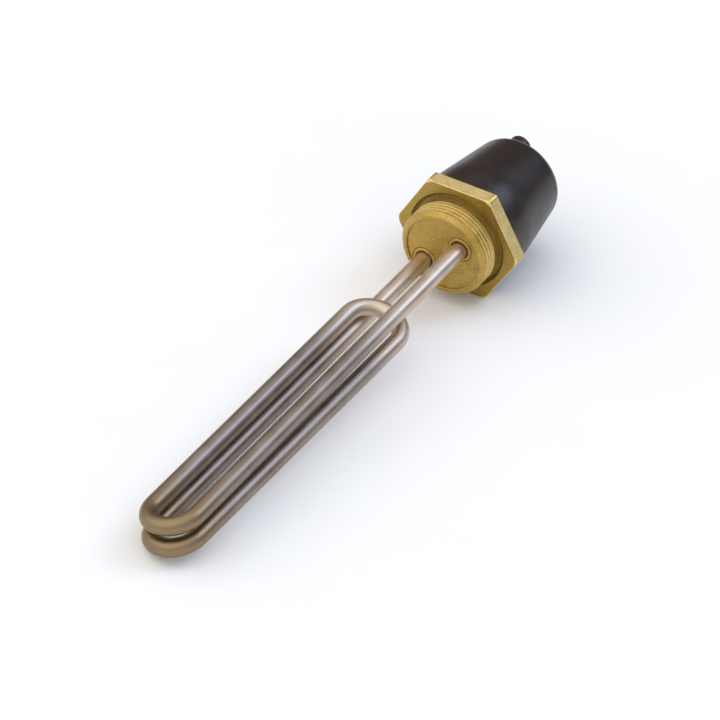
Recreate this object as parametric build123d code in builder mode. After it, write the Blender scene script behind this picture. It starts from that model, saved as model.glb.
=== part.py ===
from build123d import *
from math import cos, radians, sin, sqrt, tan
import os

# Screw-in immersion heating element: a brass hexagon plug, one steel-sheathed element folded
# into four legs, and a push-on hood over its terminals.
#
# Millimetres. The origin is the middle of the hexagon's front face, on the thread's axis.
# +X runs out along the element, +Z is square to the top flat of the hexagon.

os.makedirs("parts", exist_ok=True)

# Hexagon of the plug, its front corners turned down
hex_across_flats = 60.0
hex_thickness = 7.6
hex_edge_break = 0.7
corner_turn_diameter = 66.0
corner_turn_angle = 35.0
gasket_seat_diameter = 53.4
gasket_seat_depth = 1.8

# Threaded spigot, left plain at the crests of its pipe thread
thread_diameter = 47.8
spigot_length = 14.3
lead_in_length = 2.3
lead_in_drop = 2.0
rim_width = 2.0
rim_edge_radius = 0.7
face_recess_depth = 0.8

# Hollow behind the spigot's face, and the ring that the hood pushes onto
cavity_diameter = 37.0
face_thickness = 5.0
hood_ring_diameter = 52.8
hood_ring_wall = 3.0
hood_ring_length = 7.0
hood_ring_lead = 0.8

# Staked seats where the element passes through the face, each with a rounded collar
tube_clearance = 0.05
pocket_width = 0.5
pocket_depth = 1.2
collar_width = 1.6
collar_height = 0.8
collar_edge_radius = 0.6
stake_groove_width = 0.6
stake_groove_depth = 0.4

# Element sheath and the places of its legs, as (Y, Z) pairs across the axis
tube_diameter = 8.5
tube_wall = 0.7
hole_circle_diameter = 24.4
hole_angle = 35.6
far_leg_y = 10.3
far_leg_z = 7.9
leg_turn_radius = 800.0
outer_leg_y = 12.3
outer_leg_z = 2.4
near_bend_spread = 2.4
upper_bend_reach = 245.0
lower_bend_reach = 246.8
near_bend_reach = 65.8
bend_straight = 0.6
sheath_stub_length = 11.5

# Inside the sheath
cold_length = 65.0
pin_to_leg_turn = 6.0
core_diameter = 3.2
core_clearance = 0.05
fill_clearance = 0.05
seal_length = 6.0

# Ceramic bush at each open end of the sheath
bush_length = 6.0
bush_shoulder_drop = 0.3
bush_spigot_length = 4.0
bush_spigot_clearance = 0.05
bush_groove_width = 1.2
bush_groove_depth = 0.7

# Terminal stud and its fasteners
stud_diameter = 4.0
stud_end_length = 4.8
stud_end_break = 0.5
fastener_clearance = 0.05
nut_across_flats = 7.0
nut_thickness = 3.2
washer_diameter = 9.0
washer_thickness = 0.8
spring_washer_diameter = 7.4
spring_washer_thickness = 1.0
spring_washer_split = 0.8

# Earth screw in its boss, in the middle of the hollow
earth_boss_diameter = 9.6
earth_boss_length = 13.5
earth_screw_length = 8.0
earth_thread_depth = 9.0
screw_head_diameter = 8.0
screw_head_height = 2.8
screw_head_round = 0.9
screw_slot_width = 1.0
screw_slot_depth = 1.2

# Terminal hood
hood_fit = 0.3
hood_wall = 2.7
hood_skirt_length = 13.0
hood_waist_radius = 60.0
hood_length = 55.8
hood_end_diameter = 47.2
hood_end_wall = 2.8
hood_shoulder_radius = 7.0
nipple_diameter = 12.0
nipple_length = 10.5
nipple_end_radius = 1.4
nipple_offset = 12.0
nipple_angle = 120.0
cable_hole_diameter = 8.0

# Places along the axis, worked out from the sizes above
hex_back = -hex_thickness
seat_floor = -gasket_seat_depth
spigot_face = spigot_length - face_recess_depth
collar_front = spigot_face + collar_height
cavity_floor = spigot_face - face_thickness
ring_back = hex_back - hood_ring_length
sheath_end = cavity_floor - sheath_stub_length
bush_back = sheath_end - bush_length
seal_back = sheath_end + bush_spigot_length
fill_end = seal_back + seal_length
inner_nut_back = bush_back - nut_thickness
plain_washer_back = inner_nut_back - washer_thickness
spring_washer_back = plain_washer_back - spring_washer_thickness
outer_nut_back = spring_washer_back - nut_thickness
stud_end = outer_nut_back - stud_end_length
boss_back = cavity_floor - earth_boss_length
hood_end = hex_back - hood_length
leg_turn_reach = cold_length + pin_to_leg_turn

# Radii, worked out from the sizes above
hex_corner_radius = hex_across_flats / sqrt(3)
corner_turn_radius = corner_turn_diameter / 2
corner_turn_drop = (hex_corner_radius - corner_turn_radius) * tan(radians(corner_turn_angle))
thread_radius = thread_diameter / 2
rim_radius = thread_radius - lead_in_drop
face_radius = rim_radius - rim_width
tube_radius = tube_diameter / 2
sheath_bore_radius = tube_radius - tube_wall
tube_hole_radius = tube_radius + tube_clearance
pocket_radius = tube_radius + pocket_width
collar_radius = pocket_radius + collar_width
stake_groove_radius = collar_radius + stake_groove_width
core_radius = core_diameter / 2
stud_radius = stud_diameter / 2
stud_hole_radius = stud_radius + fastener_clearance
hood_ring_radius = hood_ring_diameter / 2
hood_mouth_bore_radius = hood_ring_radius + hood_fit
hood_skirt_radius = hood_mouth_bore_radius + hood_wall

# Legs across the axis: front and rear pass through the plug and spread a little towards the far
# bends, left and right hang free
front_leg = (
    hole_circle_diameter / 2 * cos(radians(hole_angle)),
    hole_circle_diameter / 2 * sin(radians(hole_angle)),
)
rear_leg = (-front_leg[0], -front_leg[1])
front_leg_far = (far_leg_y, far_leg_z)
rear_leg_far = (-far_leg_y, -far_leg_z)
left_leg = (-outer_leg_y, outer_leg_z)
right_leg = (outer_leg_y, -outer_leg_z)
spread = 1 + near_bend_spread / Vector(*right_leg).length
right_leg_near = (right_leg[0] * spread, right_leg[1] * spread)
plug_legs = {"front": front_leg, "rear": rear_leg}


def across(x, centre=(0, 0)):
    """Plane square to the axis at x, with its middle at the given Y and Z."""
    return Plane(origin=(x, *centre), x_dir=(0, 1, 0), z_dir=(1, 0, 0))


def along(centre=(0, 0)):
    """Plane through a line along X at the given Y and Z, for turned profiles."""
    return Plane(origin=(0, *centre), x_dir=(1, 0, 0), z_dir=(0, 0, 1))


def turning_axis(centre=(0, 0)):
    """The line along X at the given Y and Z."""
    return Axis((0, *centre), (1, 0, 0))


def folded_path(start_x):
    """Centre line of the element, from start_x on the front leg round to start_x on the rear leg."""

    def bend_radius(leg, other):
        return ((Vector(*leg) - Vector(*other)).length - bend_straight) / 2

    upper = bend_radius(front_leg_far, left_leg)
    near = bend_radius(left_leg, right_leg_near)
    lower = bend_radius(right_leg, rear_leg_far)
    corners = [
        (start_x, *front_leg),
        (leg_turn_reach, *front_leg),
        (upper_bend_reach, *front_leg_far),
        (upper_bend_reach, *left_leg),
        (near_bend_reach, *left_leg),
        (near_bend_reach, *right_leg_near),
        (lower_bend_reach, *right_leg),
        (lower_bend_reach, *rear_leg_far),
        (leg_turn_reach, *rear_leg),
        (start_x, *rear_leg),
    ]
    bends = [leg_turn_radius, upper, upper, near, near, lower, lower, leg_turn_radius]
    with BuildLine() as path:
        FilletPolyline(*corners, radius=bends)
    return path.line


# Brass plug: hexagon, threaded spigot, hood ring, hollow, staked seats and earth boss
with BuildPart() as plug_body:
    with BuildSketch(across(hex_back)):
        RegularPolygon(hex_across_flats / 2, 6, major_radius=False)
    extrude(amount=hex_thickness)
    chamfer(plug_body.edges().filter_by(Axis.X), hex_edge_break)
    with BuildSketch(along()):
        with BuildLine():
            Polyline(
                (0, corner_turn_radius),
                (0, hex_corner_radius),
                (-corner_turn_drop, hex_corner_radius),
                close=True,
            )
        make_face()
    revolve(axis=Axis.X, mode=Mode.SUBTRACT)
    with BuildSketch(across(seat_floor)):
        Circle(gasket_seat_diameter / 2)
    extrude(amount=gasket_seat_depth, mode=Mode.SUBTRACT)
    with BuildSketch(along()) as turned_body:
        with BuildLine():
            Polyline(
                (ring_back, 0),
                (ring_back, hood_ring_radius - hood_ring_lead),
                (ring_back + hood_ring_lead, hood_ring_radius),
                (seat_floor, hood_ring_radius),
                (seat_floor, thread_radius),
                (spigot_length - lead_in_length, thread_radius),
                (spigot_length, rim_radius),
                (spigot_length, 0),
                close=True,
            )
        make_face()
        rim_corner = turned_body.vertices().group_by(Axis.X)[-1].sort_by(Axis.Y)[-1]
        fillet(rim_corner, rim_edge_radius)
    revolve(axis=Axis.X)
    with BuildSketch(across(spigot_face)):
        Circle(face_radius)
    extrude(amount=face_recess_depth, mode=Mode.SUBTRACT)
    with BuildSketch(across(cavity_floor)):
        Circle(cavity_diameter / 2)
        Circle(earth_boss_diameter / 2, mode=Mode.SUBTRACT)
    extrude(amount=ring_back - cavity_floor, mode=Mode.SUBTRACT)
    with BuildSketch(across(hex_back)):
        Circle(hood_ring_radius - hood_ring_wall)
    extrude(amount=-hood_ring_length, mode=Mode.SUBTRACT)
    with BuildSketch(across(boss_back)):
        Circle(earth_boss_diameter / 2)
    extrude(amount=ring_back - boss_back, mode=Mode.SUBTRACT)
    for leg in plug_legs.values():
        with BuildSketch(across(spigot_face, leg)):
            Circle(stake_groove_radius)
            Circle(collar_radius, mode=Mode.SUBTRACT)
        extrude(amount=-stake_groove_depth, mode=Mode.SUBTRACT)
        with BuildSketch(along(leg)) as collar:
            with BuildLine():
                Polyline(
                    (spigot_face, pocket_radius),
                    (spigot_face, collar_radius),
                    (collar_front, collar_radius),
                    (collar_front, pocket_radius),
                    close=True,
                )
            make_face()
            fillet(collar.vertices().group_by(Axis.X)[-1], collar_edge_radius)
        revolve(axis=turning_axis(leg))
        with BuildSketch(across(spigot_face, leg)):
            Circle(pocket_radius)
        extrude(amount=-pocket_depth, mode=Mode.SUBTRACT)
        with BuildSketch(across(cavity_floor, leg)):
            Circle(tube_hole_radius)
        extrude(amount=spigot_length - cavity_floor, mode=Mode.SUBTRACT)
    with BuildSketch(across(boss_back)):
        Circle(stud_hole_radius)
    extrude(amount=earth_thread_depth, mode=Mode.SUBTRACT)
plug_body.part.label = "plug_body"
export_step(plug_body.part, "parts/plug_body.step")

# Seamless sheath, bent as one tube: far bend, near bend between the plug's legs, far bend
with BuildPart() as heater_sheath:
    sheath_path = folded_path(sheath_end)
    with BuildSketch(across(sheath_end, front_leg)):
        Circle(tube_radius)
        Circle(sheath_bore_radius, mode=Mode.SUBTRACT)
    sweep(path=sheath_path)
heater_sheath.part.label = "heater_sheath"
export_step(heater_sheath.part, "parts/heater_sheath.step")

# Pressed magnesia between the sheath and what carries the current
with BuildPart() as magnesia_fill:
    fill_path = folded_path(fill_end)
    with BuildSketch(across(fill_end, front_leg)):
        Circle(sheath_bore_radius - fill_clearance)
        Circle(core_radius + core_clearance, mode=Mode.SUBTRACT)
    sweep(path=fill_path)
magnesia_fill.part.label = "magnesia_fill"
export_step(magnesia_fill.part, "parts/magnesia_fill.step")

# Wound resistance wire, as the round envelope of its turns
with BuildPart() as resistance_coil:
    coil_path = folded_path(cold_length)
    with BuildSketch(across(cold_length, front_leg)):
        Circle(core_radius)
    sweep(path=coil_path)
resistance_coil.part.label = "resistance_coil"
export_step(resistance_coil.part, "parts/resistance_coil.step")


def flat_washer(x_back, centre):
    """Plain washer round a stud, from x_back towards the element."""
    with BuildPart() as washer:
        with BuildSketch(across(x_back, centre)):
            Circle(washer_diameter / 2)
            Circle(stud_hole_radius, mode=Mode.SUBTRACT)
        extrude(amount=washer_thickness)
    return washer


def split_washer(x_back, centre):
    """Spring washer round a stud, cut through on one side."""
    with BuildPart() as washer:
        with BuildSketch(across(x_back, centre)):
            Circle(spring_washer_diameter / 2)
            Circle(stud_hole_radius, mode=Mode.SUBTRACT)
            with Locations((0, spring_washer_diameter / 2)):
                Rectangle(spring_washer_split, spring_washer_diameter, mode=Mode.SUBTRACT)
        extrude(amount=spring_washer_thickness)
    return washer


def hexagon_nut(x_back, centre):
    """Hexagon nut on a stud, its corners turned down on both faces."""
    flat_radius = nut_across_flats / 2
    corner_radius = nut_across_flats / sqrt(3)
    corner_drop = corner_radius - flat_radius
    with BuildPart() as nut:
        with BuildSketch(across(x_back, centre)):
            RegularPolygon(flat_radius, 6, major_radius=False)
            Circle(stud_hole_radius, mode=Mode.SUBTRACT)
        extrude(amount=nut_thickness)
        with BuildSketch(along(centre)):
            with BuildLine():
                Polyline(
                    (x_back, 0),
                    (x_back, flat_radius),
                    (x_back + corner_drop, corner_radius),
                    (x_back + nut_thickness - corner_drop, corner_radius),
                    (x_back + nut_thickness, flat_radius),
                    (x_back + nut_thickness, 0),
                    close=True,
                )
            make_face()
        revolve(axis=turning_axis(centre), mode=Mode.INTERSECT)
    return nut


# One set at each open end of the sheath
for side, leg in plug_legs.items():
    with BuildPart() as terminal_pin:
        with BuildSketch(along(leg)):
            with BuildLine():
                Polyline(
                    (stud_end, 0),
                    (stud_end, stud_radius - stud_end_break),
                    (stud_end + stud_end_break, stud_radius),
                    (bush_back, stud_radius),
                    (bush_back, core_radius),
                    (cold_length, core_radius),
                    (cold_length, 0),
                    close=True,
                )
            make_face()
        revolve(axis=turning_axis(leg))
    terminal_pin.part.label = f"{side}_terminal_pin"
    export_step(terminal_pin.part, f"parts/{side}_terminal_pin.step")

    with BuildPart() as end_seal:
        with BuildSketch(across(seal_back, leg)):
            Circle(sheath_bore_radius - fill_clearance)
            Circle(core_radius + core_clearance, mode=Mode.SUBTRACT)
        extrude(amount=seal_length)
    end_seal.part.label = f"{side}_end_seal"
    export_step(end_seal.part, f"parts/{side}_end_seal.step")

    with BuildPart() as ceramic_bush:
        shoulder_radius = tube_radius - bush_shoulder_drop
        groove_middle = (bush_back + sheath_end) / 2
        with BuildSketch(along(leg)):
            with BuildLine():
                Polyline(
                    (bush_back, core_radius + core_clearance),
                    (bush_back, shoulder_radius),
                    (groove_middle - bush_groove_width / 2, shoulder_radius),
                    (groove_middle - bush_groove_width / 2, shoulder_radius - bush_groove_depth),
                    (groove_middle + bush_groove_width / 2, shoulder_radius - bush_groove_depth),
                    (groove_middle + bush_groove_width / 2, shoulder_radius),
                    (sheath_end, shoulder_radius),
                    (sheath_end, sheath_bore_radius - bush_spigot_clearance),
                    (seal_back, sheath_bore_radius - bush_spigot_clearance),
                    (seal_back, core_radius + core_clearance),
                    close=True,
                )
            make_face()
        revolve(axis=turning_axis(leg))
    ceramic_bush.part.label = f"{side}_ceramic_bush"
    export_step(ceramic_bush.part, f"parts/{side}_ceramic_bush.step")

    inner_nut = hexagon_nut(inner_nut_back, leg)
    inner_nut.part.label = f"{side}_inner_nut"
    export_step(inner_nut.part, f"parts/{side}_inner_nut.step")

    plain_washer = flat_washer(plain_washer_back, leg)
    plain_washer.part.label = f"{side}_plain_washer"
    export_step(plain_washer.part, f"parts/{side}_plain_washer.step")

    spring_washer = split_washer(spring_washer_back, leg)
    spring_washer.part.label = f"{side}_spring_washer"
    export_step(spring_washer.part, f"parts/{side}_spring_washer.step")

    outer_nut = hexagon_nut(outer_nut_back, leg)
    outer_nut.part.label = f"{side}_outer_nut"
    export_step(outer_nut.part, f"parts/{side}_outer_nut.step")

# Earth connection in the middle of the hollow
earth_washer_back = boss_back - washer_thickness
earth_spring_back = earth_washer_back - spring_washer_thickness
earth_head_back = earth_spring_back - screw_head_height

earth_washer = flat_washer(earth_washer_back, (0, 0))
earth_washer.part.label = "earth_washer"
export_step(earth_washer.part, "parts/earth_washer.step")

earth_spring_washer = split_washer(earth_spring_back, (0, 0))
earth_spring_washer.part.label = "earth_spring_washer"
export_step(earth_spring_washer.part, "parts/earth_spring_washer.step")

with BuildPart() as earth_screw:
    with BuildSketch(across(earth_head_back)):
        Circle(screw_head_diameter / 2)
    extrude(amount=screw_head_height)
    fillet(earth_screw.edges().sort_by(Axis.X)[0], screw_head_round)
    with BuildSketch(across(earth_spring_back)):
        Circle(stud_radius)
    extrude(amount=earth_screw_length)
    with BuildSketch(across(earth_head_back)):
        Rectangle(screw_head_diameter, screw_slot_width)
    extrude(amount=screw_slot_depth, mode=Mode.SUBTRACT)
earth_screw.part.label = "earth_screw"
export_step(earth_screw.part, "parts/earth_screw.step")

# Hood: straight skirt over the plug's ring, soft waist, tapered shell, rounded end and cable nipple
nipple_centre = (
    nipple_offset * cos(radians(nipple_angle)),
    nipple_offset * sin(radians(nipple_angle)),
)
skirt_back = hex_back - hood_skirt_length
hood_floor = hood_end + hood_end_wall
hood_end_radius = hood_end_diameter / 2
floor_radius = hood_end_radius - hood_wall

with BuildPart() as terminal_hood:
    with BuildSketch(along()) as shell:
        with BuildLine():
            Polyline(
                (hex_back, 0),
                (hex_back, hood_skirt_radius),
                (skirt_back, hood_skirt_radius),
                (hood_end, hood_end_radius),
                (hood_end, 0),
                close=True,
            )
        make_face()
        fillet(shell.vertices().group_by(Axis.X)[1], hood_waist_radius)
        shoulder = shell.vertices().group_by(Axis.X)[0].sort_by(Axis.Y)[-1]
        fillet(shoulder, hood_shoulder_radius)
    revolve(axis=Axis.X)
    with BuildSketch(across(hood_floor, nipple_centre)):
        Circle(nipple_diameter / 2)
    extrude(amount=-hood_end_wall - nipple_length)
    fillet(terminal_hood.edges().sort_by(Axis.X)[0], nipple_end_radius)
    with BuildSketch(along()) as inside:
        with BuildLine():
            Polyline(
                (hex_back, 0),
                (hex_back, hood_mouth_bore_radius),
                (skirt_back, hood_mouth_bore_radius),
                (hood_floor, floor_radius),
                (hood_floor, 0),
                close=True,
            )
        make_face()
        fillet(inside.vertices().group_by(Axis.X)[1], hood_waist_radius)
        corner = inside.vertices().group_by(Axis.X)[0].sort_by(Axis.Y)[-1]
        fillet(corner, hood_shoulder_radius - hood_wall)
    revolve(axis=Axis.X, mode=Mode.SUBTRACT)
    with BuildSketch(across(hood_floor, nipple_centre)):
        Circle(cable_hole_diameter / 2)
    extrude(amount=-hood_end_wall - nipple_length, mode=Mode.SUBTRACT)
terminal_hood.part.label = "terminal_hood"
export_step(terminal_hood.part, "parts/terminal_hood.step")
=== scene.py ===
# Immersion heating element on a pale studio floor.
# Metres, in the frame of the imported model: +X runs out along the element, +Z is square to the
# hexagon's top flat, and the origin is the middle of the hexagon's front face.
import bmesh
import bpy
from math import atan2, cos, hypot, pi, radians, sin, tan
from mathutils import Matrix, Vector


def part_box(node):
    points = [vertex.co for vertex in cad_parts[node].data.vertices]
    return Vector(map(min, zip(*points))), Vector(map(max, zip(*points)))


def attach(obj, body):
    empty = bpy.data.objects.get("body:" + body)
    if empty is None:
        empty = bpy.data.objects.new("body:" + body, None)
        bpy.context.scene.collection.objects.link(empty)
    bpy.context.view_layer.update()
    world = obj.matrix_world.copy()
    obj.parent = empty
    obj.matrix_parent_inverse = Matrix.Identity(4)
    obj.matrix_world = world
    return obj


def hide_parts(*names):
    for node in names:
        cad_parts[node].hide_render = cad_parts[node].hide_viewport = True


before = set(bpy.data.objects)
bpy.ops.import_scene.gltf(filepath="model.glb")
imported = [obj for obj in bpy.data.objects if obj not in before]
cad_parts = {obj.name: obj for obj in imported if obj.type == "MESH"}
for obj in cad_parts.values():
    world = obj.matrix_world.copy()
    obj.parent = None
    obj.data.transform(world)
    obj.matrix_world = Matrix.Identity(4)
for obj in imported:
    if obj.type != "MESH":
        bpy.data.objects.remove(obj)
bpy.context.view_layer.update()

# Places read from the frame
PLUG_LOW, PLUG_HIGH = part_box("plug_body")
SHEATH_LOW, SHEATH_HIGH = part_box("heater_sheath")
BUSH_LOW, BUSH_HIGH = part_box("front_ceramic_bush")
INNER_NUT_LOW, INNER_NUT_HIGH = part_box("front_inner_nut")
PIN_LOW, PIN_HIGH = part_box("front_terminal_pin")
SCREW_LOW, SCREW_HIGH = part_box("earth_screw")
EARTH_SPRING_LOW, EARTH_SPRING_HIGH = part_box("earth_spring_washer")
FRONT_LEG = ((BUSH_LOW.y + BUSH_HIGH.y) / 2, (BUSH_LOW.z + BUSH_HIGH.z) / 2)
REAR_LEG = (-FRONT_LEG[0], -FRONT_LEG[1])

# Hexagon
HALF_FLATS = PLUG_HIGH.z
HEX_BACK = -0.0076
HEX_CORNER_RADIUS = 0.0023
HEX_EDGE = 0.0003
CORNER_POINTS = 6
FLAT_POINTS = 34
CORNER_TURN_RADIUS = 0.033
CORNER_TURN_SLOPE = tan(radians(35))
GASKET_SEAT_RADIUS = 0.0267
GASKET_SEAT_FLOOR = -0.0018
SEAT_EDGE = 0.0003
SEAT_WALL = 0.0007
SEAT_FLOOR_RADIUS = 0.0249

# Threaded spigot: parallel pipe thread of 11 turns to the inch, with a neck behind it
THREAD_PITCH = 0.0254 / 11
THREAD_DEPTH = 0.64 * THREAD_PITCH
THREAD_RADIUS = 0.0239
THREAD_START_TURN = -0.02
THREAD_STEPS = 14
NECK_RADIUS = 0.0224
NECK_END = 0.0016
NECK_SLOPE = 1.5
THREAD_END = 0.0042
THREAD_FADE = 0.0005
SPIGOT_END = PLUG_HIGH.x
LEAD_IN_LENGTH = 0.0023
RIM_RADIUS = 0.0219
RIM_ROUND = 0.0004
RIM_EDGE = 0.0003
FACE_RADIUS = 0.0199
FACE = SPIGOT_END - 0.0008

# Hollow, hood ring and earth boss behind the face
CAVITY_FLOOR = 0.0085
CAVITY_RADIUS = 0.0185
RING_BACK = PLUG_LOW.x
RING_RADIUS = 0.0264
RING_BORE_RADIUS = 0.0234
RING_LEAD = 0.0008
BOSS_RADIUS = 0.0048
BOSS_BACK = -0.005
BOSS_HOLE_RADIUS = 0.00205
BOSS_HOLE_DEPTH = 0.009

# Staked collar round each leg
TUBE_RADIUS = 0.00425
TUBE_BORE_RADIUS = 0.00355
TUBE_HOLE_RADIUS = 0.0043
POCKET_RADIUS = 0.00475
POCKET_FLOOR = FACE - 0.0012
COLLAR_RADIUS = 0.00635
COLLAR_TOP = FACE + 0.0008
COLLAR_ROUND = 0.0006
STAKE_GROOVE_RADIUS = 0.00695
STAKE_GROOVE_FLOOR = FACE - 0.0004

# Folded element
FRONT_LEG_FAR = (0.0103, 0.0079)
REAR_LEG_FAR = (-0.0103, -0.0079)
LEFT_LEG = (-0.0123, 0.0024)
RIGHT_LEG = (0.0123, -0.0024)
LEG_TURN_REACH = 0.071
NEAR_BEND_SPREAD = 0.0024
BEND_STRAIGHT = 0.0006
UPPER_BEND_REACH = 0.245
LOWER_BEND_REACH = 0.2468
NEAR_BEND_REACH = 0.0658
TUBE_SIDES = 48
TUBE_STEP = 0.003
BEND_STEPS = 40

# Terminal studs
STUD_RADIUS = 0.002
STUD_PITCH = 0.0007
STUD_DEPTH = 0.61 * STUD_PITCH
STUD_POINT = 0.0005
STUD_STEPS = 8
STUD_SIDES = 32
CORE_RADIUS = 0.0016

# Camera: its place, what it looks at, and the lean that was left in it
CAMERA_PLACE = Vector((0.8285, 0.4716, 0.7418))
CAMERA_TARGET = Vector((0.10216, 0.0092, 0.0))
CAMERA_LEAN = radians(0.337)
CAMERA_LENS = 122.4


# Colour and node helpers

def paint(code):
    """sRGB hex code as a linear colour."""
    levels = [int(code[i : i + 2], 16) / 255 for i in (1, 3, 5)]
    linear = [v / 12.92 if v <= 0.04045 else ((v + 0.055) / 1.055) ** 2.4 for v in levels]
    return (*linear, 1.0)


def add(tree, kind, inputs=None, **settings):
    """Adds a node with its settings, and sets or links its inputs."""
    made = tree.nodes.new(kind)
    for name, value in settings.items():
        setattr(made, name, value)
    for key, value in (inputs or {}).items():
        if isinstance(value, bpy.types.NodeSocket):
            tree.links.new(value, made.inputs[key])
        else:
            made.inputs[key].default_value = value
    return made


# Sockets of a Mix node that is set to colour
FACTOR, COLOUR_A, COLOUR_B, MIXED = 0, 6, 7, 2


def new_material(name):
    """Empty node material and its tree."""
    made = bpy.data.materials.new(name)
    made.use_nodes = True
    made.node_tree.nodes.clear()
    return made, made.node_tree


def finish_material(tree, shader):
    """Joins the shader to the output."""
    add(tree, "ShaderNodeOutputMaterial", {"Surface": shader.outputs[0]})


def grain(size):
    """Noise scale whose features are about that many metres across."""
    return 1 / size


def rings_scale(period):
    """Wave scale whose rings lie that many metres apart."""
    return 2 * pi / 20 / period


# Materials

def turned_brass(name, base, shade, light, roughness, marks):
    """Free-cutting brass as it leaves the lathe: dull yellow, with rings left by the tool.

    The surface has gone slightly dull with handling, so its colour drifts over a few millimetres,
    and the fine speckle is the grain of the cast bar.
    """
    made, tree = new_material(name)
    place = add(tree, "ShaderNodeTexCoord").outputs["Object"]
    drift = add(tree, "ShaderNodeTexNoise", {"Vector": place, "Scale": grain(0.006), "Detail": 3.0})
    speckle = add(tree, "ShaderNodeTexNoise", {"Vector": place, "Scale": grain(0.0007), "Detail": 2.0})
    tarnish = add(tree, "ShaderNodeMapRange", {
        "Value": drift.outputs["Fac"], "From Min": 0.35, "From Max": 0.65})
    flecks = add(tree, "ShaderNodeMapRange", {
        "Value": speckle.outputs["Fac"], "From Min": 0.42, "From Max": 0.7})
    body = add(tree, "ShaderNodeMix", {
        FACTOR: tarnish.outputs["Result"], COLOUR_A: paint(shade), COLOUR_B: paint(base)},
        data_type="RGBA")
    colour = add(tree, "ShaderNodeMix", {
        FACTOR: flecks.outputs["Result"], COLOUR_A: body.outputs[MIXED], COLOUR_B: paint(light)},
        data_type="RGBA")
    rings = add(tree, "ShaderNodeTexWave", {
        "Vector": place, "Scale": rings_scale(0.0006), "Distortion": 0.6, "Detail": 1.0},
        wave_type="RINGS", rings_direction="X")
    relief = add(tree, "ShaderNodeMix", {
        FACTOR: 0.45, COLOUR_A: rings.outputs["Color"], COLOUR_B: speckle.outputs["Color"]},
        data_type="RGBA")
    bump = add(tree, "ShaderNodeBump", {
        "Strength": marks, "Distance": 0.00006, "Height": relief.outputs[MIXED]})
    dullness = add(tree, "ShaderNodeMapRange", {
        "Value": drift.outputs["Fac"], "From Min": 0.3, "From Max": 0.7,
        "To Min": roughness - 0.05, "To Max": roughness + 0.08})
    finish_material(tree, add(tree, "ShaderNodeBsdfPrincipled", {
        "Base Color": colour.outputs[MIXED], "Metallic": 0.85,
        "Roughness": dullness.outputs["Result"], "Normal": bump.outputs["Normal"]}))
    return made


def annealed_sheath():
    """Seamless stainless tube, annealed after bending: satin, warm brown, with draw lines along it.

    The cold end near the plug stays paler, the heated length is a darker grey brown, and the far
    bends have the yellow brown of the flame that softened them.
    """
    made, tree = new_material("annealed_stainless_tube")
    place = add(tree, "ShaderNodeTexCoord").outputs["Object"]
    unrolled = add(tree, "ShaderNodeUVMap", uv_map="unrolled").outputs["UV"]
    split = add(tree, "ShaderNodeSeparateXYZ", {"Vector": place})
    stretched = add(tree, "ShaderNodeMapping", {
        "Vector": unrolled, "Scale": (1.0, 0.03, 1.0)})
    lines = add(tree, "ShaderNodeTexNoise", {
        "Vector": stretched.outputs["Vector"], "Scale": grain(0.0006), "Detail": 2.0})
    cloud = add(tree, "ShaderNodeTexNoise", {"Vector": place, "Scale": grain(0.012), "Detail": 4.0})
    edge = add(tree, "ShaderNodeMath", {0: cloud.outputs["Fac"], 1: 0.03}, operation="MULTIPLY")
    reach = add(tree, "ShaderNodeMath", {0: split.outputs["X"], 1: edge.outputs["Value"]})
    heated = add(tree, "ShaderNodeMapRange", {
        "Value": reach.outputs["Value"], "From Min": 0.085, "From Max": 0.125})
    mottled = add(tree, "ShaderNodeMapRange", {
        "Value": cloud.outputs["Fac"], "From Min": 0.35, "From Max": 0.65})
    cold = add(tree, "ShaderNodeMix", {
        FACTOR: mottled.outputs["Result"], COLOUR_A: paint("#cbb8a4"), COLOUR_B: paint("#d8c9ba")},
        data_type="RGBA")
    hot = add(tree, "ShaderNodeMix", {
        FACTOR: mottled.outputs["Result"], COLOUR_A: paint("#8f8174"), COLOUR_B: paint("#9d9187")},
        data_type="RGBA")
    body = add(tree, "ShaderNodeMix", {
        FACTOR: heated.outputs["Result"], COLOUR_A: cold.outputs[MIXED], COLOUR_B: hot.outputs[MIXED]},
        data_type="RGBA")
    flamed = add(tree, "ShaderNodeMapRange", {
        "Value": reach.outputs["Value"], "From Min": 0.225, "From Max": 0.25})
    tinted = add(tree, "ShaderNodeMix", {
        FACTOR: flamed.outputs["Result"], COLOUR_A: body.outputs[MIXED], COLOUR_B: paint("#947f62")},
        data_type="RGBA")
    drawn = add(tree, "ShaderNodeMapRange", {
        "Value": lines.outputs["Fac"], "From Min": 0.3, "From Max": 0.7, "To Min": 0.94, "To Max": 1.05})
    colour = add(tree, "ShaderNodeVectorMath", {
        0: tinted.outputs[MIXED], "Scale": drawn.outputs["Result"]}, operation="SCALE")
    bump = add(tree, "ShaderNodeBump", {
        "Strength": 0.25, "Distance": 0.00003, "Height": lines.outputs["Fac"]})
    dullness = add(tree, "ShaderNodeMapRange", {
        "Value": cloud.outputs["Fac"], "From Min": 0.3, "From Max": 0.7, "To Min": 0.38, "To Max": 0.46})
    finish_material(tree, add(tree, "ShaderNodeBsdfPrincipled", {
        "Base Color": colour.outputs["Vector"], "Metallic": 1.0,
        "Roughness": dullness.outputs["Result"], "Normal": bump.outputs["Normal"]}))
    return made


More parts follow.
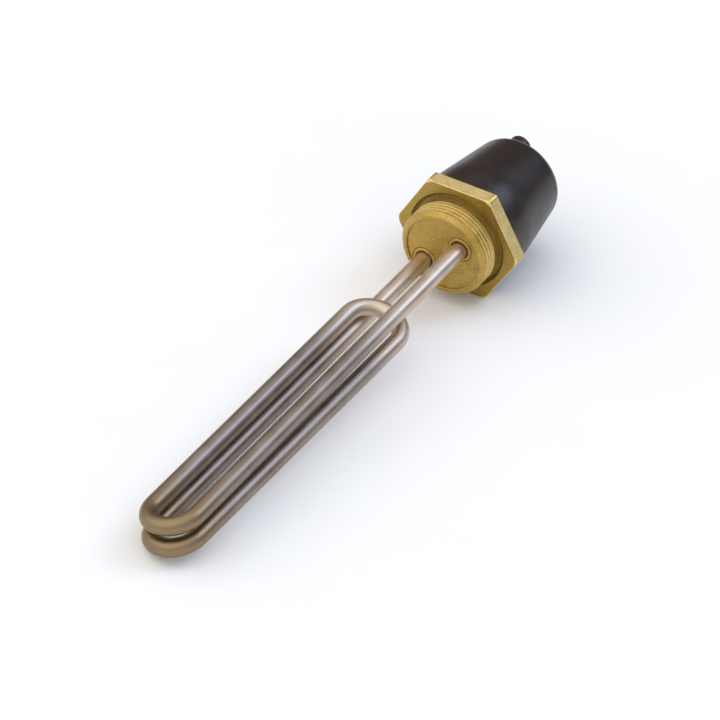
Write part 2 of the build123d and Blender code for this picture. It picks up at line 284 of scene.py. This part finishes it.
def moulded_plastic():
    """Black thermoset moulding: semi-gloss, with fine handling scratches and a faint orange peel."""
    made, tree = new_material("moulded_black_thermoset")
    place = add(tree, "ShaderNodeTexCoord").outputs["Object"]
    peel = add(tree, "ShaderNodeTexNoise", {"Vector": place, "Scale": grain(0.0012), "Detail": 2.0})
    smear = add(tree, "ShaderNodeTexNoise", {"Vector": place, "Scale": grain(0.014), "Detail": 4.0})
    turned = add(tree, "ShaderNodeMapping", {
        "Vector": place, "Rotation": (0.5, 0.9, 0.35), "Scale": (1.0, 14.0, 1.0)})
    streaks = add(tree, "ShaderNodeTexNoise", {
        "Vector": turned.outputs["Vector"], "Scale": grain(0.006), "Detail": 1.0})
    scratches = add(tree, "ShaderNodeMapRange", {
        "Value": streaks.outputs["Fac"], "From Min": 0.77, "From Max": 0.8})
    wiped = add(tree, "ShaderNodeMapRange", {
        "Value": smear.outputs["Fac"], "From Min": 0.35, "From Max": 0.7})
    body = add(tree, "ShaderNodeMix", {
        FACTOR: wiped.outputs["Result"], COLOUR_A: paint("#201510"), COLOUR_B: paint("#291c16")},
        data_type="RGBA")
    colour = add(tree, "ShaderNodeMix", {
        FACTOR: scratches.outputs["Result"], COLOUR_A: body.outputs[MIXED], COLOUR_B: paint("#574e48")},
        data_type="RGBA")
    bump = add(tree, "ShaderNodeBump", {
        "Strength": 0.2, "Distance": 0.00005, "Height": peel.outputs["Fac"]})
    dullness = add(tree, "ShaderNodeMapRange", {
        "Value": smear.outputs["Fac"], "From Min": 0.3, "From Max": 0.7, "To Min": 0.3, "To Max": 0.4})
    finish_material(tree, add(tree, "ShaderNodeBsdfPrincipled", {
        "Base Color": colour.outputs[MIXED], "IOR": 1.48,
        "Roughness": dullness.outputs["Result"], "Normal": bump.outputs["Normal"]}))
    return made


def plated(name, base, shade, roughness, grain_size):
    """Small plated fastener: bright metal with a fine uneven grain."""
    made, tree = new_material(name)
    place = add(tree, "ShaderNodeTexCoord").outputs["Object"]
    drift = add(tree, "ShaderNodeTexNoise", {
        "Vector": place, "Scale": grain(grain_size), "Detail": 3.0})
    colour = add(tree, "ShaderNodeMix", {
        FACTOR: drift.outputs["Fac"], COLOUR_A: paint(shade), COLOUR_B: paint(base)},
        data_type="RGBA")
    bump = add(tree, "ShaderNodeBump", {
        "Strength": 0.2, "Distance": 0.00003, "Height": drift.outputs["Fac"]})
    finish_material(tree, add(tree, "ShaderNodeBsdfPrincipled", {
        "Base Color": colour.outputs[MIXED], "Metallic": 1.0, "Roughness": roughness,
        "Normal": bump.outputs["Normal"]}))
    return made


def fired(name, base, shade, roughness, grain_size):
    """Fired or pressed insulator, or moulded rubber: even and dull, with a fine grain."""
    made, tree = new_material(name)
    place = add(tree, "ShaderNodeTexCoord").outputs["Object"]
    drift = add(tree, "ShaderNodeTexNoise", {
        "Vector": place, "Scale": grain(grain_size), "Detail": 4.0})
    colour = add(tree, "ShaderNodeMix", {
        FACTOR: drift.outputs["Fac"], COLOUR_A: paint(shade), COLOUR_B: paint(base)},
        data_type="RGBA")
    bump = add(tree, "ShaderNodeBump", {
        "Strength": 0.15, "Distance": 0.00003, "Height": drift.outputs["Fac"]})
    finish_material(tree, add(tree, "ShaderNodeBsdfPrincipled", {
        "Base Color": colour.outputs[MIXED], "Roughness": roughness,
        "Normal": bump.outputs["Normal"]}))
    return made


# Mesh helpers

def add_ring(mesh, points):
    """New vertices round one closed ring."""
    return [mesh.verts.new(p) for p in points]


def span(mesh, a, b, slot=0):
    """Quads between two rings of as many points, with one material slot or one for each quad."""
    count = len(a)
    slots = slot if isinstance(slot, list) else [slot] * count
    for i in range(count):
        j = (i + 1) % count
        face = mesh.faces.new((a[i], a[j], b[j], b[i]))
        face.material_index = slots[i]


def ring_edges(mesh, ring):
    """Edges round a ring, made where they don't exist yet."""
    edges = []
    for i, start in enumerate(ring):
        end = ring[(i + 1) % len(ring)]
        edges.append(mesh.edges.get((start, end)) or mesh.edges.new((start, end)))
    return edges


def fill(mesh, rings, slot=0):
    """Flat face square to X inside the first ring, with the others as holes in it."""
    edges = [e for ring in rings for e in ring_edges(mesh, ring)]
    made = bmesh.ops.triangle_fill(mesh, use_beauty=True, edges=edges)
    for item in made["geom"]:
        if isinstance(item, bmesh.types.BMFace):
            item.material_index = slot


def round_points(x, radius, directions, centre=(0, 0)):
    """Circle square to X, with a point in each direction."""
    return [(x, centre[0] + radius * y, centre[1] + radius * z) for y, z in directions]


def even_directions(count):
    """Unit directions evenly round the X axis."""
    turns = [2 * pi * i / count for i in range(count)]
    return [(cos(t), sin(t)) for t in turns]


def turned(mesh, profile, directions, centre=(0, 0), slot=0):
    """Turned surface along a profile of (x, radius), and the first and last rings."""
    rings = [add_ring(mesh, round_points(x, r, directions, centre)) for x, r in profile]
    for a, b in zip(rings, rings[1:]):
        span(mesh, a, b, slot)
    return rings[0], rings[-1]


def make_object(name, mesh, body, materials, sharp=32):
    """Object from a bmesh: normals outward, smooth but for edges sharper than that many degrees."""
    bmesh.ops.remove_doubles(mesh, verts=mesh.verts, dist=1e-7)
    bmesh.ops.recalc_face_normals(mesh, faces=mesh.faces)
    data = bpy.data.meshes.new(name)
    mesh.to_mesh(data)
    mesh.free()
    data.shade_smooth()
    data.set_sharp_from_angle(angle=radians(sharp))
    for material in materials:
        data.materials.append(material)
    made = bpy.data.objects.new(name, data)
    bpy.context.scene.collection.objects.link(made)
    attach(made, body)
    return made


# Threaded plug

def hexagon_outline(inset):
    """Hexagon with rounded corners, moved in by inset, as (y, z) points in even order."""
    radius = HEX_CORNER_RADIUS - inset
    corner_centre = (HALF_FLATS - HEX_CORNER_RADIUS) / cos(radians(30))
    points = []
    for side in range(6):
        corner = radians(60 * side)
        middle = Vector((cos(corner), sin(corner))) * corner_centre
        for i in range(CORNER_POINTS):
            turn = corner + radians(-30 + 60 * i / (CORNER_POINTS - 1))
            points.append(middle + Vector((cos(turn), sin(turn))) * radius)
        start = points[-1]
        next_corner = corner + radians(60)
        next_middle = Vector((cos(next_corner), sin(next_corner))) * corner_centre
        facing = corner + radians(30)
        end = next_middle + Vector((cos(facing), sin(facing))) * radius
        for i in range(1, FLAT_POINTS):
            points.append(start.lerp(end, i / FLAT_POINTS))
    return [(p.x, p.y) for p in points]


def cut(x, turn, pitch, depth):
    """How deep a right-hand thread is cut at x and at that share of a turn."""
    return depth * (0.5 - 0.5 * cos(2 * pi * (x / pitch - turn)))


def threaded(mesh, low, high, steps, radius_at, directions, centre=(0, 0), slot=0):
    """Rings from low to high with radius_at(x, turn), and the first and last of them."""
    rings = []
    for i in range(steps + 1):
        x = low + (high - low) * i / steps
        points = []
        for y, z in directions:
            radius = radius_at(x, atan2(z, y) / (2 * pi))
            points.append((x, centre[0] + radius * y, centre[1] + radius * z))
        rings.append(add_ring(mesh, points))
    for a, b in zip(rings, rings[1:]):
        span(mesh, a, b, slot)
    return rings[0], rings[-1]


def rounded(start, middle, end, steps=4):
    """Points of a smooth turn in a profile, from start to end round the corner at the middle."""
    points = []
    for i in range(steps + 1):
        t = i / steps
        points.append(tuple(
            (1 - t) ** 2 * a + 2 * t * (1 - t) * b + t ** 2 * c for a, b, c in zip(start, middle, end)))
    return points


def spigot_radius(x, turn):
    """Radius of the spigot: its neck or its thread, whichever is smaller."""
    before_thread = max(0, THREAD_END - x)
    to_lead_in = max(0, x - (SPIGOT_END - LEAD_IN_LENGTH - THREAD_FADE))
    depth = THREAD_DEPTH * (1 - min(1, max(before_thread, to_lead_in) / THREAD_FADE))
    thread = THREAD_RADIUS - cut(x, turn - THREAD_START_TURN, THREAD_PITCH, depth)
    neck = NECK_RADIUS + max(0, x - NECK_END) * NECK_SLOPE
    return min(thread, neck)


def threaded_plug(turned_face, side_flats, seat, thread, rim):
    """Brass plug with its pipe thread cut."""
    FACE_SLOT, SIDE_SLOT, SEAT_SLOT, THREAD_SLOT, RIM_SLOT = range(5)
    rubbed = [THREAD_SLOT] * (CORNER_POINTS - 1)
    side_slots = (rubbed + [SIDE_SLOT] * FLAT_POINTS) * 6
    mesh = bmesh.new()
    outline = hexagon_outline(0)
    inner_outline = hexagon_outline(HEX_EDGE)
    directions = [(y / hypot(y, z), z / hypot(y, z)) for y, z in outline]

    def outline_ring(x, points):
        return add_ring(mesh, [(x, y, z) for y, z in points])

    def turned_down(point):
        return max(0, hypot(*point) - CORNER_TURN_RADIUS) * CORNER_TURN_SLOPE

    # Hood ring, from its bore round its end to the hexagon's back face
    hollow_edge, ring_root = turned(mesh, [
        (CAVITY_FLOOR, CAVITY_RADIUS), (HEX_BACK, CAVITY_RADIUS), (HEX_BACK, RING_BORE_RADIUS),
        (RING_BACK, RING_BORE_RADIUS), (RING_BACK, RING_RADIUS - RING_LEAD),
        (RING_BACK + RING_LEAD, RING_RADIUS), (HEX_BACK, RING_RADIUS)], directions, slot=FACE_SLOT)

    # Hexagon, with its edges just broken
    back = outline_ring(HEX_BACK, inner_outline)
    side_back = outline_ring(HEX_BACK + HEX_EDGE, outline)
    side_front = add_ring(mesh, [(-HEX_EDGE - turned_down(p), *p) for p in outline])
    chamfer_back = add_ring(mesh, [(-turned_down(p), *p) for p in inner_outline])
    front = add_ring(mesh, [
        (0, *(v * min(1, CORNER_TURN_RADIUS / hypot(*p)) for v in p)) for p in inner_outline])
    span(mesh, ring_root, back, FACE_SLOT)
    span(mesh, back, side_back, SIDE_SLOT)
    span(mesh, side_back, side_front, side_slots)
    span(mesh, side_front, chamfer_back, SIDE_SLOT)
    span(mesh, chamfer_back, front, SIDE_SLOT)

    # Gasket seat, in a darker and greyer copy of the turned brass: painted shade in the recess
    seat_edge, seat_floor = turned(mesh, [
        (0, GASKET_SEAT_RADIUS), (-SEAT_EDGE, GASKET_SEAT_RADIUS - SEAT_EDGE),
        (-SEAT_WALL, GASKET_SEAT_RADIUS - SEAT_EDGE), (GASKET_SEAT_FLOOR, SEAT_FLOOR_RADIUS)],
        directions, slot=SEAT_SLOT)
    span(mesh, front, seat_edge, FACE_SLOT)

    # Neck and thread, then the turned lead-in
    thread_end = SPIGOT_END - LEAD_IN_LENGTH
    steps = round((thread_end - GASKET_SEAT_FLOOR) / THREAD_PITCH * THREAD_STEPS)
    thread_start, thread_last = threaded(
        mesh, GASKET_SEAT_FLOOR, thread_end, steps, spigot_radius, directions, slot=THREAD_SLOT)
    span(mesh, seat_floor, thread_start, SEAT_SLOT)

    # Rim and the step down to the face
    rim_start, face_edge = turned(mesh, [
        *rounded(
            (SPIGOT_END - RIM_ROUND, RIM_RADIUS + RIM_ROUND * (THREAD_RADIUS - RIM_RADIUS) / LEAD_IN_LENGTH),
            (SPIGOT_END, RIM_RADIUS), (SPIGOT_END, RIM_RADIUS - RIM_ROUND)),
        (SPIGOT_END, FACE_RADIUS + RIM_EDGE),
        (SPIGOT_END - RIM_EDGE, FACE_RADIUS), (FACE, FACE_RADIUS)], directions, slot=RIM_SLOT)
    span(mesh, thread_last, rim_start, RIM_SLOT)

    # Staked collars and the holes behind them
    leg_directions = even_directions(64)
    grooves, holes = [], []
    for leg in (FRONT_LEG, REAR_LEG):
        groove, hole = turned(mesh, [
            (FACE, STAKE_GROOVE_RADIUS),
            *rounded(
                (STAKE_GROOVE_FLOOR, STAKE_GROOVE_RADIUS - 0.0002), (STAKE_GROOVE_FLOOR, COLLAR_RADIUS),
                (FACE, COLLAR_RADIUS)),
            *rounded(
                (COLLAR_TOP - COLLAR_ROUND, COLLAR_RADIUS), (COLLAR_TOP, COLLAR_RADIUS),
                (COLLAR_TOP, COLLAR_RADIUS - COLLAR_ROUND)),
            *rounded(
                (COLLAR_TOP, POCKET_RADIUS + COLLAR_ROUND), (COLLAR_TOP, POCKET_RADIUS),
                (COLLAR_TOP - COLLAR_ROUND, POCKET_RADIUS)),
            (POCKET_FLOOR, POCKET_RADIUS), (POCKET_FLOOR, TUBE_HOLE_RADIUS),
            (CAVITY_FLOOR, TUBE_HOLE_RADIUS)],
            leg_directions, leg, RIM_SLOT)
        grooves.append(groove)
        holes.append(hole)
    fill(mesh, [face_edge, *grooves], RIM_SLOT)

    # Earth boss and its hole
    boss_root, boss_end = turned(mesh, [
        (CAVITY_FLOOR, BOSS_RADIUS), (BOSS_BACK, BOSS_RADIUS), (BOSS_BACK, BOSS_HOLE_RADIUS),
        (BOSS_BACK + BOSS_HOLE_DEPTH, BOSS_HOLE_RADIUS)], leg_directions, slot=FACE_SLOT)
    fill(mesh, [boss_end], FACE_SLOT)
    fill(mesh, [hollow_edge, *holes, boss_root], FACE_SLOT)

    plug = make_object("threaded_plug", mesh, "heater", [turned_face, side_flats, seat, thread, rim])
    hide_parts("plug_body")
    return plug


# Terminal studs

def terminal_stud(side, leg, steel):
    """Cold pin of one leg, with the thread of its stud cut."""
    mesh = bmesh.new()
    directions = even_directions(STUD_SIDES)

    def stud_radius(x, turn):
        point = max(0, PIN_LOW.x + STUD_POINT - x)
        return STUD_RADIUS - max(point, cut(x, turn, STUD_PITCH, STUD_DEPTH))

    steps = round((BUSH_LOW.x - PIN_LOW.x) / STUD_PITCH * STUD_STEPS)
    tip, root = threaded(mesh, PIN_LOW.x, BUSH_LOW.x, steps, stud_radius, directions, leg)
    step, core_end = turned(
        mesh, [(BUSH_LOW.x, CORE_RADIUS), (PIN_HIGH.x, CORE_RADIUS)], directions, leg)
    span(mesh, root, step)
    fill(mesh, [tip])
    fill(mesh, [core_end])
    stud = make_object(side + "_threaded_stud", mesh, "heater", [steel])
    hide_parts(side + "_terminal_pin")


# Folded element

def bend(start, end, reach, outward):
    """Half turn from one leg to another, as (x, y, z) points, ends left out."""
    a, b = Vector(start), Vector(end)
    gap = (b - a).length
    radius = (gap - BEND_STRAIGHT) / 2
    side = (b - a).normalized()
    points = []
    for corner, first in ((a, True), (b, False)):
        centre = corner + side * radius * (1 if first else -1)
        for i in range(BEND_STEPS // 2 + 1):
            turn = pi / 2 * i / (BEND_STEPS // 2)
            if not first:
                turn = pi / 2 - turn
            x = reach - outward * radius * (1 - sin(turn))
            across = centre - side * radius * cos(turn) * (1 if first else -1)
            points.append(Vector((x, across.x, across.y)))
    return points


def tube_line():
    """Centre line of the element from one open end to the other."""
    spread = 1 + NEAR_BEND_SPREAD / hypot(*RIGHT_LEG)
    right_near = (RIGHT_LEG[0] * spread, RIGHT_LEG[1] * spread)
    start_x = SHEATH_LOW.x
    stretches = [
        [Vector((start_x, *FRONT_LEG))],
        [Vector((LEG_TURN_REACH, *FRONT_LEG))],
        bend(FRONT_LEG_FAR, LEFT_LEG, UPPER_BEND_REACH, 1),
        bend(LEFT_LEG, right_near, NEAR_BEND_REACH, -1),
        bend(RIGHT_LEG, REAR_LEG_FAR, LOWER_BEND_REACH, 1),
        [Vector((LEG_TURN_REACH, *REAR_LEG))],
        [Vector((start_x, *REAR_LEG))],
    ]
    line = []
    for stretch in stretches:
        if line:
            start, end = line[-1], stretch[0]
            steps = max(1, round((end - start).length / TUBE_STEP))
            line += [start.lerp(end, i / steps) for i in range(1, steps)]
        line += stretch
    return line


def frames_along(line):
    """Point, two crosswise directions and distance at each point of a line, without twist."""
    frames = []
    distance = 0
    up = Vector((0, 0, 1))
    for i, point in enumerate(line):
        before = line[max(0, i - 1)]
        after = line[min(len(line) - 1, i + 1)]
        ahead = (after - before).normalized()
        side = up.cross(ahead).normalized()
        up = ahead.cross(side).normalized()
        distance += (point - before).length
        frames.append((point, side, up, distance))
    return frames


def element_sheath(steel):
    """The folded tube, open at both ends, with a map of it unrolled."""
    mesh = bmesh.new()
    unrolled = mesh.loops.layers.uv.new("unrolled")
    frames = frames_along(tube_line())
    directions = even_directions(TUBE_SIDES)
    around = 2 * pi * TUBE_RADIUS

    def wall(radius):
        rings = []
        for point, side, up, distance in frames:
            rings.append(add_ring(mesh, [point + (side * a + up * b) * radius for a, b in directions]))
        for k, (first, second) in enumerate(zip(rings, rings[1:])):
            for i in range(TUBE_SIDES):
                j = (i + 1) % TUBE_SIDES
                face = mesh.faces.new((first[i], first[j], second[j], second[i]))
                shares = (i, i + 1, i + 1, i)
                runs = (frames[k][3], frames[k][3], frames[k + 1][3], frames[k + 1][3])
                for loop, share, run in zip(face.loops, shares, runs):
                    loop[unrolled].uv = (around * share / TUBE_SIDES, run)
        return rings[0], rings[-1]

    outer_start, outer_end = wall(TUBE_RADIUS)
    bore_start, bore_end = wall(TUBE_BORE_RADIUS)
    span(mesh, outer_start, bore_start)
    span(mesh, outer_end, bore_end)
    sheath = make_object("element_sheath", mesh, "heater", [steel], sharp=50)
    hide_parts("heater_sheath")
    return sheath


# Floor, light and camera

def studio_floor():
    """Pale floor under the lower front edge of the hexagon and the lower far bend."""
    bend_x = LOWER_BEND_REACH
    bend_z = REAR_LEG_FAR[1] - TUBE_RADIUS
    slope = atan2(bend_z + HALF_FLATS, bend_x)
    bpy.ops.mesh.primitive_circle_add(vertices=96, radius=12, fill_type="NGON")
    floor = bpy.context.object
    floor.name = "studio_floor"
    floor.location = (0, 0, -HALF_FLATS - 0.0004)
    floor.rotation_euler = (0, -slope, 0)
    made, tree = new_material("matt_white_paper")
    place = add(tree, "ShaderNodeTexCoord").outputs["Object"]
    pulp = add(tree, "ShaderNodeTexNoise", {"Vector": place, "Scale": grain(0.03), "Detail": 2.0})
    colour = add(tree, "ShaderNodeMix", {
        FACTOR: pulp.outputs["Fac"], COLOUR_A: paint("#fafaf9"), COLOUR_B: paint("#fcfcfc")},
        data_type="RGBA")
    finish_material(tree, add(tree, "ShaderNodeBsdfDiffuse", {"Color": colour.outputs[MIXED]}))
    floor.data.materials.append(made)


def soft_light(name, towards, strength, spread, colour):
    """Distant soft light that comes from that direction."""
    lamp = bpy.data.lights.new(name, "SUN")
    lamp.energy = strength
    lamp.angle = radians(spread)
    lamp.color = paint(colour)[:3]
    made = bpy.data.objects.new(name, lamp)
    made.rotation_euler = Vector(towards).to_track_quat("Z", "Y").to_euler()
    bpy.context.scene.collection.objects.link(made)


def studio_world():
    """Grey surroundings: a pale wall in front, and behind it warm on the left and cool on the right."""
    world = bpy.data.worlds.new("studio")
    bpy.context.scene.world = world
    world.use_nodes = True
    tree = world.node_tree
    tree.nodes.clear()
    direction = add(tree, "ShaderNodeTexCoord").outputs["Generated"]
    split = add(tree, "ShaderNodeSeparateXYZ", {"Vector": direction})
    height = add(tree, "ShaderNodeMapRange", {
        "Value": split.outputs["Z"], "From Min": 0.0, "From Max": 0.8})
    right = add(tree, "ShaderNodeMapRange", {
        "Value": split.outputs["Y"], "From Min": -0.6, "From Max": 0.7})
    front = add(tree, "ShaderNodeMapRange", {
        "Value": split.outputs["X"], "From Min": -0.45, "From Max": 0.3})
    low = add(tree, "ShaderNodeMix", {
        FACTOR: right.outputs["Result"], COLOUR_A: paint("#66574c"), COLOUR_B: paint("#606c7c")},
        data_type="RGBA")
    high = add(tree, "ShaderNodeMix", {
        FACTOR: right.outputs["Result"], COLOUR_A: paint("#a09690"), COLOUR_B: paint("#a8b4c2")},
        data_type="RGBA")
    back = add(tree, "ShaderNodeMix", {
        FACTOR: height.outputs["Result"], COLOUR_A: low.outputs[MIXED], COLOUR_B: high.outputs[MIXED]},
        data_type="RGBA")
    colour = add(tree, "ShaderNodeMix", {
        FACTOR: front.outputs["Result"], COLOUR_A: back.outputs[MIXED], COLOUR_B: paint("#e0dedc")},
        data_type="RGBA")
    sky = add(tree, "ShaderNodeBackground", {"Color": colour.outputs[MIXED], "Strength": 1.0})
    add(tree, "ShaderNodeOutputWorld", {"Surface": sky.outputs[0]})


def photo_camera():
    """Camera where the photograph was taken from."""
    data = bpy.data.cameras.new("camera")
    data.lens = CAMERA_LENS
    data.sensor_width = 36
    camera = bpy.data.objects.new("camera", data)
    turn = (CAMERA_TARGET - CAMERA_PLACE).to_track_quat("-Z", "Y").to_matrix().to_4x4()
    lean = Matrix.Rotation(CAMERA_LEAN, 4, "Z")
    camera.matrix_world = Matrix.Translation(CAMERA_PLACE) @ turn @ lean
    bpy.context.scene.collection.objects.link(camera)
    bpy.context.scene.camera = camera


def dress_nodes(materials):
    """Gives each carried-over node its finish."""
    for slot_words, material in materials.items():
        for name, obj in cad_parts.items():
            if slot_words in name:
                obj.data.materials.clear()
                obj.data.materials.append(material)


def main():
    brass_face = turned_brass("turned_brass_face", "#b09247", "#9f8139", "#bea257", 0.42, 0.35)
    brass_flats = turned_brass("forged_brass_flats", "#e4c988", "#d8bb78", "#ecd8a0", 0.5, 0.2)
    # The seat's brass is a darker, greyer copy of the face brass: painted shade in the recess round the
    # thread
    seat_brass_painted_shade = turned_brass("gasket_seat_brass_painted_shade", "#9a8648", "#86733a", "#ab9758", 0.5, 0.3)
    brass_thread = turned_brass("cut_thread_brass", "#cfb46e", "#bfa25a", "#dcc684", 0.32, 0.2)
    brass_rim = turned_brass("turned_brass_rim", "#b8994e", "#a7873d", "#c8ac62", 0.4, 0.3)
    threaded_plug(brass_face, brass_flats, seat_brass_painted_shade, brass_thread, brass_rim)
    element_sheath(annealed_sheath())
    stud_steel = plated("bright_steel_stud", "#c6c4c0", "#aaa7a2", 0.3, 0.001)
    terminal_stud("front", FRONT_LEG, stud_steel)
    terminal_stud("rear", REAR_LEG, stud_steel)
    dress_nodes({
        "terminal_hood": moulded_plastic(),
        "ceramic_bush": fired("fired_steatite", "#ece4d2", "#ddd2bc", 0.45, 0.002),
        "inner_nut": plated("nickelled_brass_nut", "#cbb87e", "#b39f66", 0.28, 0.001),
        "outer_nut": plated("nickelled_brass_outer_nut", "#cbb87e", "#b39f66", 0.28, 0.001),
        "plain_washer": plated("zinc_washer", "#b9bcbe", "#a2a6aa", 0.34, 0.001),
        "spring_washer": plated("oiled_spring_steel", "#6d6a68", "#575452", 0.4, 0.001),
        "earth_washer": plated("zinc_earth_washer", "#b9bcbe", "#a2a6aa", 0.34, 0.001),
        "earth_screw": plated("brass_screw_head", "#c2a355", "#a98b3f", 0.3, 0.001),
        "end_seal": fired("silicone_seal", "#9a4a3a", "#8a4031", 0.6, 0.002),
        "magnesia_fill": fired("pressed_magnesia", "#e8e6df", "#dad7cd", 0.8, 0.001),
        "resistance_coil": plated("resistance_wire", "#8f8a84", "#7a756f", 0.4, 0.0008),
    })
    studio_floor()
    studio_world()
    soft_light("key", (-0.58, 0.45, 0.68), 0.85, 32, "#cfe0ff")
    soft_light("top", (0.15, -0.35, 0.92), 1.3, 100, "#ffffff")
    photo_camera()
    bpy.context.scene.view_settings.view_transform = "Standard"


main()
